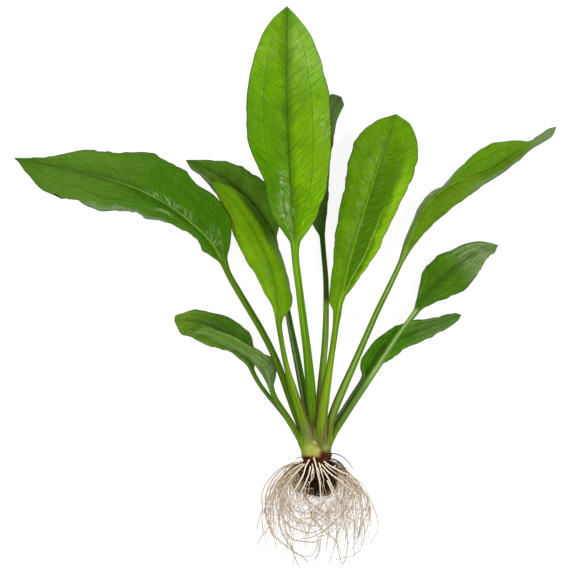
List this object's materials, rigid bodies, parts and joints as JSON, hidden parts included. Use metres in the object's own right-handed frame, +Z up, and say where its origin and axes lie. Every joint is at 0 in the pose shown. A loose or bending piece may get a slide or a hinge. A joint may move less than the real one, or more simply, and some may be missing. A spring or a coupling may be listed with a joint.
{
  "type": "amazon sword plant",
  "caption": "Bare-rooted rosette water plant lying on its back: long-stalked sword-shaped leaves spread from a short crown above a skirt of pale roots.",
  "frame": {"origin": "centre of the overall bounding box in X and Y, on the surface that the plant lies on", "axes": "+Z up, away from the surface that the plant lies on; +Y along the plant from its roots to its tallest leaf; +X to the right as one looks down on it with the leaves away from one"},
  "size_m": [0.2922, 0.3004, 0.0351],
  "materials": {
    "leaf_tall_centre": "fresh leaf, not timber: bright yellow-green, glossy in patches, thin dark midrib",
    "leaf_broad_left": "fresh leaf, not timber: mid green, wavy, glossy along the midrib",
    "leaf_dark_left": "fresh leaf, not timber: dark green with a greyer lower margin",
    "leaf_narrow_left": "fresh leaf, not timber: yellow-green with a darker turned-down half",
    "leaf_low_left": "fresh leaf, not timber: mid green, darker upper half",
    "leaf_turned_left": "fresh leaf, not timber: grey-green underside turned up",
    "leaf_back_centre": "fresh leaf, not timber: dark green, greyer at the blunt tip",
    "leaf_upright_right": "fresh leaf, not timber: yellow-green with a light midrib",
    "leaf_long_right": "fresh leaf, not timber: mid green, folded and twisted towards the tip",
    "leaf_mid_right": "fresh leaf, not timber: mid green with grey streaks of gloss at the tip",
    "leaf_low_right": "fresh leaf, not timber: dark to mid green",
    "crown": "fresh plant tissue, not timber: pale yellow-green with papery brown sheath edges",
    "planting_medium": "dark brown crumbly planting fibre, matt",
    "root": "fresh root, not timber: cream to beige, satin"
  },
  "bodies": {
    "root": {"leaf_tall_centre": "leaf_tall_centre", "leaf_broad_left": "leaf_broad_left", "leaf_dark_left": "leaf_dark_left", "leaf_narrow_left": "leaf_narrow_left", "leaf_low_left": "leaf_low_left", "leaf_turned_left": "leaf_turned_left", "leaf_back_centre": "leaf_back_centre", "leaf_upright_right": "leaf_upright_right", "leaf_long_right": "leaf_long_right", "leaf_mid_right": "leaf_mid_right", "leaf_low_right": "leaf_low_right", "crown": "crown", "root_ball_core": "planting_medium", "root_01": "root", "root_02": "root", "root_03": "root", "root_04": "root", "root_05": "root", "root_06": "root", "root_07": "root", "root_08": "root", "root_09": "root", "root_10": "root", "root_11": "root", "root_12": "root", "root_13": "root", "root_14": "root", "root_15": "root", "root_16": "root", "root_17": "root", "root_18": "root", "root_19": "root", "root_20": "root", "root_21": "root", "root_22": "root", "root_23": "root", "root_24": "root", "root_25": "root", "root_26": "root", "root_27": "root"}
  },
  "joints": []
}
